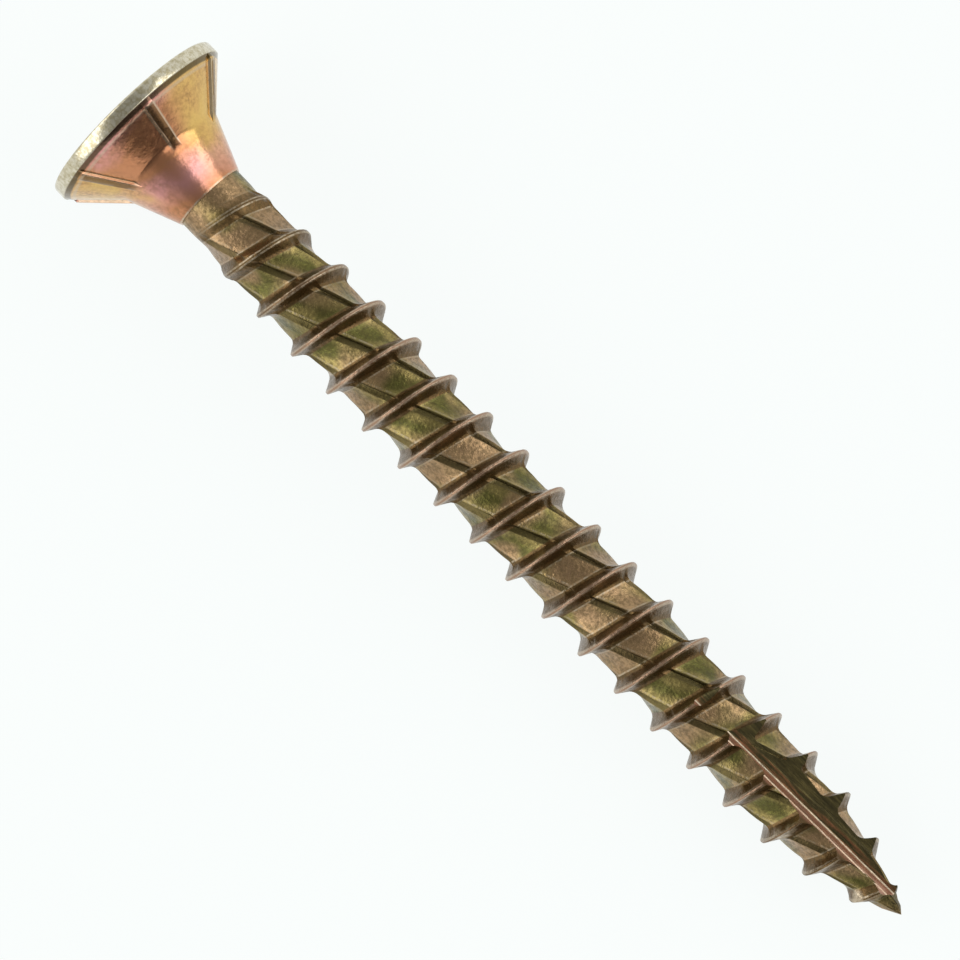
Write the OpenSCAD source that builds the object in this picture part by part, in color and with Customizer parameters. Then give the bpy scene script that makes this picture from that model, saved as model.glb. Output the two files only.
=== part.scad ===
// Multi-purpose wood screw with a countersunk head, cutter ribs under the head,
// a single coarse thread on a twisted six-sided core and a slashed cutting point.
// It lies on its head rim and one thread crest, head towards -X, point towards +X.

/* [Overall] */
// Length from the top of the head to the point, mm
screw_l = 50; // [45:0.5:58]
// Hand of the thread, the core twist and the cut point
thread_hand = "left"; // [left, right]

/* [Head] */
// Diameter of the head across its rim, mm
head_d = 9.6; // [9:0.1:10.5]
// Height of the straight rim, mm
rim_h = 0.65; // [0.4:0.05:0.8]
// Chamfer round the top edge of the rim, mm
rim_chamfer = 0.12; // [0.05:0.01:0.2]
// Step from the rim in to the cone below it, mm
rim_step = 0.08; // [0.04:0.01:0.15]
// Height of the bevel under the rim, mm
bevel_h = 0.28; // [0.1:0.02:0.4]
// Half angle of the countersunk cone, degrees
cone_angle = 45; // [42:1:47]
// Diameter at which the cone turns into the throat, mm
throat_d = 6.1; // [5.4:0.1:6.4]
// Distance from the top of the head to the foot of the throat, mm
throat_end = 5.2; // [4.9:0.1:5.4]
// Step from the throat in to the plain neck, mm
collar_step = 0.06; // [0.03:0.01:0.1]

/* [Cutter ribs] */
// Number of ribs on the cone
rib_count = 6; // [4:1:8]
// Width of a rib at the rim, mm
rib_w_rim = 0.5; // [0.3:0.05:0.7]
// Width of a rib at the throat, mm
rib_w_throat = 0.26; // [0.15:0.01:0.4]
// Depth of the pockets between the ribs, mm
pocket_depth = 0.16; // [0.1:0.01:0.22]
// Angle of the first rib round the axis, degrees
rib_turn = 11; // [0:1:59]

/* [Cross recess] */
// Span of two opposite wings at the top, mm
recess_span = 4.9; // [4.4:0.1:5.2]
// Thickness of a wing, mm
wing_t = 0.95; // [0.8:0.05:1.1]
// Depth of the wings, mm
recess_depth = 2.7; // [2.3:0.1:2.9]
// Width of the round middle of the recess at the top, mm
recess_core_d = 2.5; // [2.1:0.1:2.8]
// Length of the short relief grooves between the wings, from the axis, mm
relief_reach = 1.75; // [1.6:0.05:2]
// Width of the relief grooves, mm
relief_w = 0.35; // [0.25:0.05:0.45]
// Depth of the relief grooves, mm
relief_depth = 1.1; // [0.8:0.1:1.5]

/* [Core] */
// Diameter of the plain neck, mm
neck_d = 3.45; // [3.3:0.05:3.55]
// Distance across the core over two opposite faces, were it round, mm
core_flat_d = 3.28; // [3:0.02:3.36]
// Number of twisted faces
core_faces = 6; // [5:1:6]
// Length in which the core twists once round, mm
twist_lead = 24.5; // [20:0.5:30]
// Width of the groove along each core edge, degrees round the axis
groove_angle = 12; // [8:1:16]
// Depth of that groove, mm
groove_depth = 0.14; // [0.05:0.01:0.18]
// Angle of the first core edge at the top of the head, degrees
core_turn = 27; // [0:1:71]
// Length in which the round neck turns into the faced core, mm
blend_l = 1.2; // [0.8:0.1:2]

/* [Thread] */
// Diameter over the thread crests, mm
crest_d = 4.75; // [4.5:0.05:5.1]
// Pitch of the single thread, mm
pitch = 2.34; // [2.2:0.02:2.6]
// Distance from the top of the head to the first trace of the thread, mm
thread_start = 6; // [5.7:0.05:6.3]
// Angle round the axis at which the thread starts, from the top, degrees
thread_turn = -76; // [-180:1:180]
// Length over which the thread rises to its full height, mm
thread_rise = 10.4; // [8:0.2:12]
// Width of the flat crest where the thread starts, mm
crest_w_start = 0.18; // [0.14:0.01:0.24]
// Width of the flat crest at the point, mm
crest_w_end = 0.07; // [0.05:0.01:0.12]
// Width of a tooth at the top of its root fillet, mm
tooth_w = 0.64; // [0.5:0.02:0.8]
// Width over both root fillets, mm
root_w = 1.24; // [1:0.02:1.5]
// Height of the root fillets, mm
fillet_h = 0.14; // [0.08:0.01:0.2]

/* [Point] */
// Length in which the core narrows to the point, mm
taper_l = 9; // [8:0.2:10]
// Diameter of the core just before its blunt tip, mm
tip_d = 0.3; // [0.2:0.02:0.4]
// Distance from the point at which the thread stops, mm
thread_stop = 0.75; // [0.6:0.05:0.9]
// Length at the point in which the last turn is pressed together, mm
press_l = 1.2; // [1:0.1:1.5]

/* [Cut point] */
// Distance from the point to where the cut runs out of the core, mm
cut_l = 11.5; // [9:0.5:13]
// Distance from the axis to the side wall of the cut at the point, mm
cut_side = 0.42; // [0.2:0.02:0.5]
// Angle by which the cut turns across the axis, degrees
cut_turn = 1.8; // [0:0.1:2.5]
// Height of the cut's corner above the axis at the point, mm
cut_lift = 0.03; // [0:0.01:0.1]
// Lean of the side wall away from square, degrees
cut_lean = 27; // [10:1:30]

/* [Hidden] */

// Head and throat, radii and distances along the axis
head_r = head_d / 2;
cone_start_r = head_r - rim_step;
cone_start = rim_h + bevel_h;
throat_r = throat_d / 2;
cone_end = cone_start + (cone_start_r - throat_r) / tan(cone_angle);
pocket_off = pocket_depth / cos(cone_angle);
neck_r = neck_d / 2;
collar_r = neck_r + collar_step;
head_sides = 72;

// Height by which the recess tools stand above the head
above = 1;

// One sector of the core: directions of its grid columns from a core edge
sector = 360 / core_faces;
half_groove = groove_angle / 2;
face_columns = 4;
groove_bottom = half_groove / 3;
columns = concat(
    [-half_groove, groove_bottom],
    [for (i = [0 : face_columns - 1]) half_groove + i * (sector - groove_angle) / face_columns]
);
sector_columns = len(columns);
turn_columns = core_faces * sector_columns;
core_edge_r = core_flat_d / 2 / cos(sector / 2 - half_groove);
groove_r = core_edge_r - groove_depth;

// The grid follows the core twist, so one thread turn takes a longer pitch on it
twist_rate = 360 / twist_lead;
grid_stretch = 1 / (1 - pitch * twist_rate / 360);
grid_pitch = pitch * grid_stretch;
taper_start = screw_l - taper_l;
cut_slope = atan(core_edge_r / cut_l);

// Thread path: plain turns inside the head, then columns up to the thread's blunt end
plain_turns = 1.25;
start_angle = thread_turn - twist_rate * thread_start;
first_sector = ceil((start_angle - core_turn + half_groove) / sector - plain_turns * core_faces);
thread_end = screw_l - thread_stop;
column_count = floor(((thread_end - thread_start) / grid_pitch + plain_turns) * turn_columns);
tip_knee = screw_l - press_l;
squeeze_from = thread_end + grid_pitch - root_w / 2 * grid_stretch;
tip_squeeze = (screw_l - tip_d - tip_knee) / (squeeze_from - tip_knee);

// Offsets of the profile points from the crest line, and how each one is shaped
profile = [
    [-root_w / 2, 0],
    [-tooth_w / 2, 1],
    [-1, 2],
    [1, 2],
    [tooth_w / 2, 1],
    [root_w / 2, 0],
    [pitch / 2, 0]
];
rows = len(profile);

// Direction of grid column c round the axis, before the twist is added
function column_angle(c) =
    let (k = floor(c / sector_columns))
    core_turn + (first_sector + k) * sector + columns[c - k * sector_columns];

// Distance along the axis of the crest line at column c
function crest_s(c) = thread_start + (column_angle(c) - start_angle) * grid_pitch / 360;

// Where the shank ends inside the head
ring_s = crest_s(0) - root_w;

// The last turn is pressed together so that it ends at the point
function pressed(s) = s < tip_knee ? s : tip_knee + (s - tip_knee) * tip_squeeze;

// How far the core has narrowed, 1 on the shank and down to the tip at the point
function narrowing(s) =
    s < taper_start ? 1 : 1 - (1 - tip_d / neck_d) * pow((s - taper_start) / taper_l, 2);

// Radius of the core at column c and distance s: round neck, faced shank
function core_r(c, s) =
    let (
        k = floor(c / sector_columns),
        i = c - k * sector_columns,
        shank_r = i == 1 ? groove_r : core_flat_d / 2 / cos(columns[i] + (i == 0 ? sector : 0) - sector / 2),
        blend = min(1, max(0, (s - thread_start) / blend_l))
    )
    (neck_r * (1 - blend) + shank_r * blend) * narrowing(s);

// Height of the tooth over the core, rising after the neck and fading at the point
function tooth_h(s) =
    let (
        up = min(1, max(0, (s - thread_start) / thread_rise)),
        down = min(1, max(0, (s - taper_start) / taper_l))
    )
    (1 - pow(1 - up, 2.5)) * (1 - pow(down, 5));

// Radius of the thread crest at distance s
function crest_r(s) = neck_r * narrowing(s) + (crest_d / 2 - neck_r) * tooth_h(s);

// Half width of the flat crest at distance s
function crest_half(s) = (crest_w_start + (crest_w_end - crest_w_start) * min(1, s / screw_l)) / 2;

// Point m of the profile at column c, in the screw's own frame along +X
function thread_point(c, m) =
    let (
        s0 = crest_s(c),
        p = profile[m],
        off = p[1] == 2 ? p[0] * crest_half(s0) : p[0],
        s = pressed(s0 + off * grid_stretch),
        a = column_angle(c) + twist_rate * s,
        base = core_r(c % turn_columns, s),
        h = tooth_h(pressed(s0)),
        r = p[1] == 2 ? max(base, crest_r(pressed(s0)))
            : p[1] == 1 ? base + fillet_h * min(1, 2 * h)
            : base
    )
    [s, r * sin(a), r * cos(a)];

// Points of the whole shank: neck ring, thread columns, last row, cap and tip
ring_points = [
    for (c = [0 : turn_columns - 1])
        let (a = column_angle(c) + twist_rate * ring_s)
        [ring_s, neck_r * sin(a), neck_r * cos(a)]
];
column_points = [for (c = [0 : column_count], m = [0 : rows - 1]) thread_point(c, m)];
last_points = [for (c = [column_count + 1 : column_count + turn_columns]) thread_point(c, 0)];
shank_points = concat(
    ring_points,
    column_points,
    last_points,
    [[ring_s, 0, 0], [screw_l, 0, 0]]
);
cap_id = len(shank_points) - 2;
tip_id = len(shank_points) - 1;

// Number of point m at column c, where the profile's end is the next turn's start
function id(c, m) =
    m == rows ? id(c + turn_columns, 0)
    : c > column_count ? turn_columns + (column_count + 1) * rows + c - column_count - 1
    : turn_columns + c * rows + m;

shank_faces = concat(
    [for (c = [0 : turn_columns - 1]) [cap_id, (c + 1) % turn_columns, c]],
    [for (c = [0 : turn_columns - 2]) [c, id(c + 1, 0), id(c, 0)]],
    [for (c = [0 : turn_columns - 2]) [c, c + 1, id(c + 1, 0)]],
    [[turn_columns - 1, 0, id(turn_columns - 1, 0)]],
    [[0, id(0, 0), id(turn_columns - 1, 0)]],
    [for (m = [0 : rows - 1]) [id(turn_columns - 1, 0), id(0, m), id(0, m + 1)]],
    [for (c = [0 : column_count - 1], m = [0 : rows - 1]) [id(c, m), id(c + 1, m), id(c, m + 1)]],
    [for (c = [0 : column_count - 1], m = [0 : rows - 1]) [id(c + 1, m), id(c + 1, m + 1), id(c, m + 1)]],
    [for (c = [column_count : column_count + turn_columns - 1]) [tip_id, id(c, 0), id(c + 1, 0)]],
    [for (m = [0 : rows - 1]) [tip_id, id(column_count, m + 1), id(column_count, m)]]
);

// Rest: the screw tips down until a crest touches the floor with the head rim
rest_tilt = min([
    for (p = column_points)
        if (p[0] > screw_l / 2) atan2(head_r + p[2], p[0] - rim_h)
]);
low_s = rim_h;
rest_drop = low_s * sin(rest_tilt) + head_r * cos(rest_tilt);
rest_back = -head_r * sin(rest_tilt);
rest_front = screw_l * cos(rest_tilt);

// Head, throat and the start of the neck, turned about the axis
module head_body() {
    rotate_extrude($fn = head_sides)
        polygon([
            [0, 0],
            [head_r - rim_chamfer, 0],
            [head_r, rim_chamfer],
            [head_r, rim_h],
            [cone_start_r - pocket_off, cone_start],
            [throat_r - pocket_off, cone_end],
            [collar_r, throat_end],
            [0, throat_end]
        ]);
}

// Full cone that the ribs reach up to
module rib_cone() {
    rotate_extrude($fn = head_sides)
        polygon([
            [0, rim_h / 2],
            [cone_start_r, rim_h / 2],
            [cone_start_r, cone_start],
            [throat_r, cone_end],
            [throat_r - 2 * pocket_off, cone_end + pocket_off],
            [0, cone_end + pocket_off]
        ]);
}

// Slab that holds one rib, wide at the rim and narrow at the throat
module rib_slab() {
    rotate([90, 0, 90])
        translate([0, 0, neck_r])
            linear_extrude(head_r)
                polygon([
                    [-rib_w_rim / 2, 0],
                    [rib_w_rim / 2, 0],
                    [rib_w_rim / 2, cone_start],
                    [rib_w_throat / 2, throat_end],
                    [-rib_w_throat / 2, throat_end],
                    [-rib_w_rim / 2, cone_start]
                ]);
}

module ribs() {
    for (i = [0 : rib_count - 1])
        rotate(90 - rib_turn - i * 360 / rib_count)
            intersection() {
                rib_cone();
                rib_slab();
            }
}

// Wing of the recess: narrower towards its bottom
module recess_wing() {
    rotate([90, 0, 0])
        linear_extrude(wing_t, center = true)
            polygon([
                [-recess_span / 2, -above],
                [recess_span / 2, -above],
                [recess_span / 2, 0],
                [recess_core_d / 2, recess_depth],
                [-recess_core_d / 2, recess_depth],
                [-recess_span / 2, 0]
            ]);
}

module recess() {
    for (turn = [0, 90]) rotate(turn) recess_wing();
    rotate_extrude($fn = 36)
        polygon([
            [0, -above],
            [recess_core_d / 2, -above],
            [recess_core_d / 2, 0],
            [recess_core_d * 0.35, recess_depth],
            [0, recess_depth + recess_core_d * 0.2]
        ]);
    for (turn = [45, 135])
        rotate(turn)
            translate([-relief_reach, -relief_w / 2, -above])
                cube([2 * relief_reach, relief_w, relief_depth + above]);
}

module shank() {
    polyhedron(points = shank_points, faces = shank_faces, convexity = 10);
}

// Cut that slashes one quarter of the point, with a sloping face and a leaning wall
module point_cut() {
    translate([screw_l, cut_side, cut_lift])
        rotate([0, cut_slope, cut_turn])
            rotate([90, 0, -90])
                linear_extrude(3 * cut_l, center = true)
                    polygon([
                        [0, 0],
                        [-2 * crest_d, 0],
                        [-2 * crest_d, 2 * crest_d],
                        [2 * crest_d * tan(cut_lean), 2 * crest_d]
                    ]);
}

// The screw along +X from the top of the head at the origin
module screw_along_x() {
    difference() {
        union() {
            rotate([90, 0, 90])
                rotate(180 / head_sides) {
                    head_body();
                    ribs();
                }
            shank();
        }
        rotate([90, 0, 90]) rotate(45) recess();
        point_cut();
    }
}

module screw() {
    color("darkkhaki")
        translate([-(rest_front + rest_back) / 2, 0, rest_drop])
            rotate([0, rest_tilt, 0])
                mirror([0, thread_hand == "left" ? 0 : 1, 0])
                    screw_along_x();
}

screw();
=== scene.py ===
import math

import bmesh
import bpy
from mathutils import Matrix, Vector


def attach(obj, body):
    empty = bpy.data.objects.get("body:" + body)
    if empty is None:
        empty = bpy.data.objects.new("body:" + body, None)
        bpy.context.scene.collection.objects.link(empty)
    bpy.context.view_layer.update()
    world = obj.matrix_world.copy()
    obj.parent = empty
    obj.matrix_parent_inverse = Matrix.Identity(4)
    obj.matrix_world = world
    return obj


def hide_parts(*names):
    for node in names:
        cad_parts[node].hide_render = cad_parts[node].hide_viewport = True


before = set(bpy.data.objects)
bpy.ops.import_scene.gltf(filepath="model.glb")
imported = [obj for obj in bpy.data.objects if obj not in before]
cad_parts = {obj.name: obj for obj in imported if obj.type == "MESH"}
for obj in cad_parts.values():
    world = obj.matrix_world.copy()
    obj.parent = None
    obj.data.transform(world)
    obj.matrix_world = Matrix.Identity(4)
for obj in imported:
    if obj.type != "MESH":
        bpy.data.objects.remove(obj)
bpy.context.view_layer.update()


# Shank with its thread
# The shank is rolled from steel wire: a six-sided core, twisted along its
# length with a fine groove on each edge, and one sharp thread raised round it.
# Its tree lays a grid along the thread, one strip per turn, and welds the turns.

SCREW_LENGTH = 50.0
CREST_DIAMETER = 4.75
PITCH = 2.34
THREAD_START = 6.0
THREAD_TURN = -76.0
NECK_RADIUS = 1.725
CORE_FACES = 6
CORE_FLAT_RADIUS = 1.64
CORE_TURN = 27.0
TWIST_LEAD = 24.5
TAPER_LENGTH = 9.0
TIP_DIAMETER = 0.3
ROOT_WIDTH = 1.24
TOOTH_WIDTH = 0.64
FILLET_PULL = 0.43
HALF_GROOVE = 6.0
GROOVE_DEPTH = 0.14
LIP_DEPTH = 0.03
LIP_WIDTH = 1.2
FLOOR_FROM = 1.2
FLOOR_TO = 2.6
FLAT_COLUMNS = 10
BLUNT_LENGTH = 0.75
PRESS_LENGTH = 1.2
STRETCH = 1 / (1 - PITCH / TWIST_LEAD)
PRESSED_FROM = PRESS_LENGTH - BLUNT_LENGTH + (PITCH - ROOT_WIDTH / 2) * STRETCH
SQUEEZE = (PRESS_LENGTH - TIP_DIAMETER) / PRESSED_FROM


class Reading:
    """A number inside a node tree; sums with it place Math nodes."""

    def __init__(self, tree, socket):
        self.tree = tree
        self.socket = socket

    def do(self, operation, *values):
        return calculate(self.tree, operation, self, *values)

    def __add__(self, other):
        return self.do("ADD", other)

    def __sub__(self, other):
        return self.do("SUBTRACT", other)

    def __mul__(self, other):
        return self.do("MULTIPLY", other)

    def __truediv__(self, other):
        return self.do("DIVIDE", other)

    def __rsub__(self, other):
        return calculate(self.tree, "SUBTRACT", other, self)

    def __rtruediv__(self, other):
        return calculate(self.tree, "DIVIDE", other, self)

    __radd__ = __add__
    __rmul__ = __mul__

    def power(self, other):
        return self.do("POWER", other)

    def clamped(self):
        return self.do("MINIMUM", 1.0).do("MAXIMUM", 0.0)

    def between(self, low, high):
        """0 below low and 1 above high, with a soft step between."""
        node = self.tree.nodes.new("ShaderNodeMapRange")
        node.interpolation_type = "SMOOTHSTEP"
        feed(self.tree, node.inputs["Value"], self)
        feed(self.tree, node.inputs["From Min"], low)
        feed(self.tree, node.inputs["From Max"], high)
        return Reading(self.tree, node.outputs["Result"])

    def mixed(self, at_zero, at_one):
        return at_zero + self * (at_one - at_zero)


def feed(tree, socket, value):
    if isinstance(value, Reading):
        tree.links.new(value.socket, socket)
    elif isinstance(value, bpy.types.NodeSocket):
        tree.links.new(value, socket)
    else:
        socket.default_value = value


def calculate(tree, operation, *values):
    node = tree.nodes.new("ShaderNodeMath")
    node.operation = operation
    for socket, value in zip(node.inputs, values):
        feed(tree, socket, value)
    return Reading(tree, node.outputs[0])


def outline_object(name, points):
    """A chain of points, kept as a loose mesh for the tree to read."""
    mesh = bpy.data.meshes.new(name)
    mesh.from_pydata(points, [(i, i + 1) for i in range(len(points) - 1)], [])
    holder = bpy.data.objects.new(name, mesh)
    bpy.context.scene.collection.objects.link(holder)
    return holder


def tooth_outline():
    """Rows over one pitch: x is the distance from the crest line, y the height
    (1 at the top of the root fillet, 2 at the crest), z the share of the crest's half width."""
    side = []
    fillet_rows = 4
    for i in range(fillet_rows):
        u = i / fillet_rows
        x = (1 - u) ** 2 * ROOT_WIDTH / 2 + 2 * u * (1 - u) * FILLET_PULL + u * u * TOOTH_WIDTH / 2
        side.append((x, u * u * 0.8 + u * 0.2, 0.0))
    side.append((TOOTH_WIDTH / 2, 1.0, 0.0))
    for i in (1, 2):
        u = i / 3
        side.append((TOOTH_WIDTH / 2 * (1 - u), 1 + u * 0.97, u))
    side.append((0.0, 1.97, 1.0))
    side.append((0.0, 1.995, 0.8))
    side.append((0.0, 2.0, 0.4))
    left = [(-x, y, -z) for x, y, z in side]
    core = [(ROOT_WIDTH / 2 + (PITCH - ROOT_WIDTH) * i / 3, 0.0, 0.0) for i in range(1, 4)]
    return left + [(0.0, 2.0, 0.0)] + side[::-1] + core


def core_outline():
    """Columns over one face: x is the angle from the core edge, y the radius."""
    sector = 360 / CORE_FACES

    def flat(angle):
        return CORE_FLAT_RADIUS / math.cos(math.radians(angle - sector / 2))

    edge = flat(HALF_GROOVE)
    points = [(-HALF_GROOVE, edge - 0.012, 0), (-HALF_GROOVE + LIP_WIDTH, edge - LIP_DEPTH, 0)]
    points += [(FLOOR_FROM, edge - GROOVE_DEPTH, 0), (FLOOR_TO, edge - GROOVE_DEPTH, 0)]
    points += [(HALF_GROOVE - 0.9, edge - LIP_DEPTH, 0), (HALF_GROOVE, edge - 0.008, 0)]
    for i in range(1, FLAT_COLUMNS):
        angle = HALF_GROOVE + i * (sector - 2 * HALF_GROOVE) / FLAT_COLUMNS
        points.append((angle, flat(angle), 0))
    return points


CREST_WANDER_RATE = 3.1
SIDEWAYS_WANDER = 0.6
RISE_POWER = 2.5
FADE_POWER = 5.0
WELD_DISTANCE = 0.0005


def shank_tree():
    tree = bpy.data.node_groups.new("Threaded_shank", "GeometryNodeTree")
    face = tree.interface
    face.new_socket("Geometry", in_out="OUTPUT", socket_type="NodeSocketGeometry")
    sizes = {
        "Screw length": SCREW_LENGTH,
        "Crest diameter": CREST_DIAMETER,
        "Pitch": PITCH,
        "Thread start": THREAD_START,
        "Thread turn": THREAD_TURN,
        "Thread rise": 10.4,
        "Crest width at start": 0.18,
        "Crest width at point": 0.07,
        "Root width": ROOT_WIDTH,
        "Fillet height": 0.14,
        "Neck radius": NECK_RADIUS,
        "Core faces": float(CORE_FACES),
        "Core turn": CORE_TURN,
        "Twist lead": TWIST_LEAD,
        "Half groove": HALF_GROOVE,
        "Taper length": TAPER_LENGTH,
        "Tip diameter": TIP_DIAMETER,
        "Blunt length": BLUNT_LENGTH,
        "Press length": PRESS_LENGTH,
        "Blend length": 1.2,
        "Plain turns": 1.25,
        "Crest wear": 0.02,
        "Seed": 7.0,
    }
    face.new_socket("Tooth outline", in_out="INPUT", socket_type="NodeSocketObject")
    face.new_socket("Core outline", in_out="INPUT", socket_type="NodeSocketObject")
    face.new_socket("Plating", in_out="INPUT", socket_type="NodeSocketMaterial")
    for name in sizes:
        face.new_socket(name, in_out="INPUT", socket_type="NodeSocketFloat")
    given = tree.nodes.new("NodeGroupInput")
    size = {name: Reading(tree, given.outputs[name]) for name in sizes}

    def outline(name):
        info = tree.nodes.new("GeometryNodeObjectInfo")
        tree.links.new(given.outputs[name], info.inputs["Object"])
        count = tree.nodes.new("GeometryNodeAttributeDomainSize")
        tree.links.new(info.outputs["Geometry"], count.inputs["Geometry"])
        return info.outputs["Geometry"], Reading(tree, count.outputs["Point Count"])

    def row_of(geometry, index):
        sample = tree.nodes.new("GeometryNodeSampleIndex")
        sample.data_type = "FLOAT_VECTOR"
        tree.links.new(geometry, sample.inputs["Geometry"])
        tree.links.new(tree.nodes.new("GeometryNodeInputPosition").outputs[0], sample.inputs["Value"])
        feed(tree, sample.inputs["Index"], index + 0.5)
        split = tree.nodes.new("ShaderNodeSeparateXYZ")
        tree.links.new(sample.outputs["Value"], split.inputs[0])
        return [Reading(tree, out) for out in split.outputs]

    tooth, row_count = outline("Tooth outline")
    core, face_columns = outline("Core outline")
    turn_columns = face_columns * size["Core faces"]
    sector = 360.0 / size["Core faces"]
    twist_rate = 360.0 / size["Twist lead"]
    stretch = 1.0 / (1.0 - size["Pitch"] / size["Twist lead"])
    grid_pitch = size["Pitch"] * stretch
    start_angle = size["Thread turn"] - twist_rate * size["Thread start"]
    before = (start_angle - size["Core turn"] + size["Half groove"]) / sector
    first_sector = (before - size["Plain turns"] * size["Core faces"]).do("CEIL")
    taper_start = size["Screw length"] - size["Taper length"]
    thread_end = size["Screw length"] - size["Blunt length"]
    knee = size["Screw length"] - size["Press length"]
    turns = (thread_end - size["Thread start"]) / grid_pitch + size["Plain turns"]
    last_column = (turns * turn_columns).do("FLOOR")
    squeeze_from = thread_end + grid_pitch - size["Root width"] * 0.5 * stretch
    squeeze = (size["Screw length"] - size["Tip diameter"] - knee) / (squeeze_from - knee)

    grid = tree.nodes.new("GeometryNodeMeshGrid")
    feed(tree, grid.inputs["Vertices X"], last_column + turn_columns + 1.5)
    feed(tree, grid.inputs["Vertices Y"], row_count + 0.5)
    index = Reading(tree, tree.nodes.new("GeometryNodeInputIndex").outputs[0])
    column = ((index + 0.5) / row_count).do("FLOOR")
    row = index - column * row_count

    sector_number = ((column + 0.5) / face_columns).do("FLOOR")
    core_x, core_y, _ = row_of(core, column - sector_number * face_columns)
    column_angle = size["Core turn"] + (first_sector + sector_number) * sector + core_x
    crest_s = size["Thread start"] + (column_angle - start_angle) * grid_pitch / 360.0
    ring_s = size["Thread start"] - size["Plain turns"] * grid_pitch - size["Root width"]

    def pressed(s):
        past = (s - knee).do("MAXIMUM", 0.0)
        return s - past * (1.0 - squeeze)

    def narrowing(s):
        along = ((s - taper_start) / size["Taper length"]).do("MAXIMUM", 0.0)
        thin = 1.0 - size["Tip diameter"] / (size["Neck radius"] * 2.0)
        return 1.0 - thin * along * along

    x, y, z = row_of(tooth, row)
    crest_w = size["Crest width at start"] + (
        size["Crest width at point"] - size["Crest width at start"]
    ) * (crest_s / size["Screw length"]).do("MINIMUM", 1.0)

    # The rolled crest is never quite even: it wanders a little and loses height in places
    wander = tree.nodes.new("ShaderNodeTexNoise")
    wander.noise_dimensions = "1D"
    wander.inputs["Detail"].default_value = 3.0
    feed(tree, wander.inputs["W"], crest_s * CREST_WANDER_RATE + size["Seed"])
    wear = Reading(tree, wander.outputs[0])
    s = pressed(crest_s + (x + z * crest_w * 0.5) * stretch)
    on_tooth = (y - 1.0).clamped()
    s = s + (wear - 0.5) * size["Crest wear"] * SIDEWAYS_WANDER * on_tooth
    angle = (column_angle + twist_rate * s) * (math.pi / 180)
    blend = ((s - size["Thread start"]) / size["Blend length"]).clamped()
    base = blend.mixed(size["Neck radius"], core_y) * narrowing(s)
    s0 = pressed(crest_s)
    rise = 1.0 - (1.0 - ((s0 - size["Thread start"]) / size["Thread rise"]).clamped()).power(RISE_POWER)
    fade = 1.0 - ((s0 - taper_start) / size["Taper length"]).clamped().power(FADE_POWER)
    height = rise * fade
    crest = size["Neck radius"] * narrowing(s0)
    crest = crest + (size["Crest diameter"] * 0.5 - size["Neck radius"]) * height
    crest = crest - wear * size["Crest wear"]
    foot = base + size["Fillet height"] * (height * 2.0).do("MINIMUM", 1.0) * y.clamped()
    radius = base.do("MAXIMUM", foot + (crest - foot) * on_tooth)

    # The first column, and the first turn's first row, close on to the cap, and the last turn on to the tip
    at_start = column.do("LESS_THAN", 0.5)
    first_turn = column.do("LESS_THAN", turn_columns - 0.5)
    row_zero = row.do("LESS_THAN", 0.5)
    row_last = row.do("GREATER_THAN", row_count - 1.5)
    to_cap = (at_start * (1.0 - row_last)).do("MAXIMUM", first_turn * row_zero)
    last_turn = column.do("GREATER_THAN", last_column + 0.5)
    to_tip = last_turn * (1.0 - row_zero)
    s = to_cap.mixed(s, ring_s)
    s = to_tip.mixed(s, size["Screw length"])
    radius = radius * (1.0 - to_cap) * (1.0 - to_tip)

    place = tree.nodes.new("ShaderNodeCombineXYZ")
    feed(tree, place.inputs[0], s)
    feed(tree, place.inputs[1], radius * angle.do("SINE"))
    feed(tree, place.inputs[2], radius * angle.do("COSINE"))
    shape = tree.nodes.new("GeometryNodeSetPosition")
    tree.links.new(grid.outputs["Mesh"], shape.inputs["Geometry"])
    tree.links.new(place.outputs[0], shape.inputs["Position"])
    weld = tree.nodes.new("GeometryNodeMergeByDistance")
    weld.inputs["Distance"].default_value = WELD_DISTANCE
    real = tree.nodes.new("GeometryNodeRealizeInstances")
    plate = tree.nodes.new("GeometryNodeSetMaterial")
    done = tree.nodes.new("NodeGroupOutput")
    tree.links.new(shape.outputs[0], weld.inputs["Geometry"])
    tree.links.new(weld.outputs[0], real.inputs["Geometry"])
    tree.links.new(real.outputs[0], plate.inputs["Geometry"])
    tree.links.new(given.outputs["Plating"], plate.inputs["Material"])
    tree.links.new(plate.outputs[0], done.inputs[0])
    return tree, sizes


def grown(tree, values):
    """Runs a tree with these inputs and returns the mesh that it makes."""
    seed_object = bpy.data.objects.new(tree.name, bpy.data.meshes.new(tree.name))
    bpy.context.scene.collection.objects.link(seed_object)
    modifier = seed_object.modifiers.new(tree.name, "NODES")
    modifier.node_group = tree
    sockets = {item.name: item.identifier for item in tree.interface.items_tree}
    for name, value in values.items():
        modifier[sockets[name]] = value
    ready = seed_object.evaluated_get(bpy.context.evaluated_depsgraph_get())
    mesh = bpy.data.meshes.new_from_object(ready)
    seed_object.modifiers.remove(modifier)
    bpy.data.objects.remove(seed_object)
    return mesh


def outward(mesh):
    """Turns the faces of a closed mesh outwards."""
    work = bmesh.new()
    work.from_mesh(mesh)
    bmesh.ops.recalc_face_normals(work, faces=work.faces)
    if work.calc_volume(signed=True) < 0:
        bmesh.ops.reverse_faces(work, faces=work.faces)
    work.to_mesh(mesh)
    work.free()
    return mesh
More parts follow.
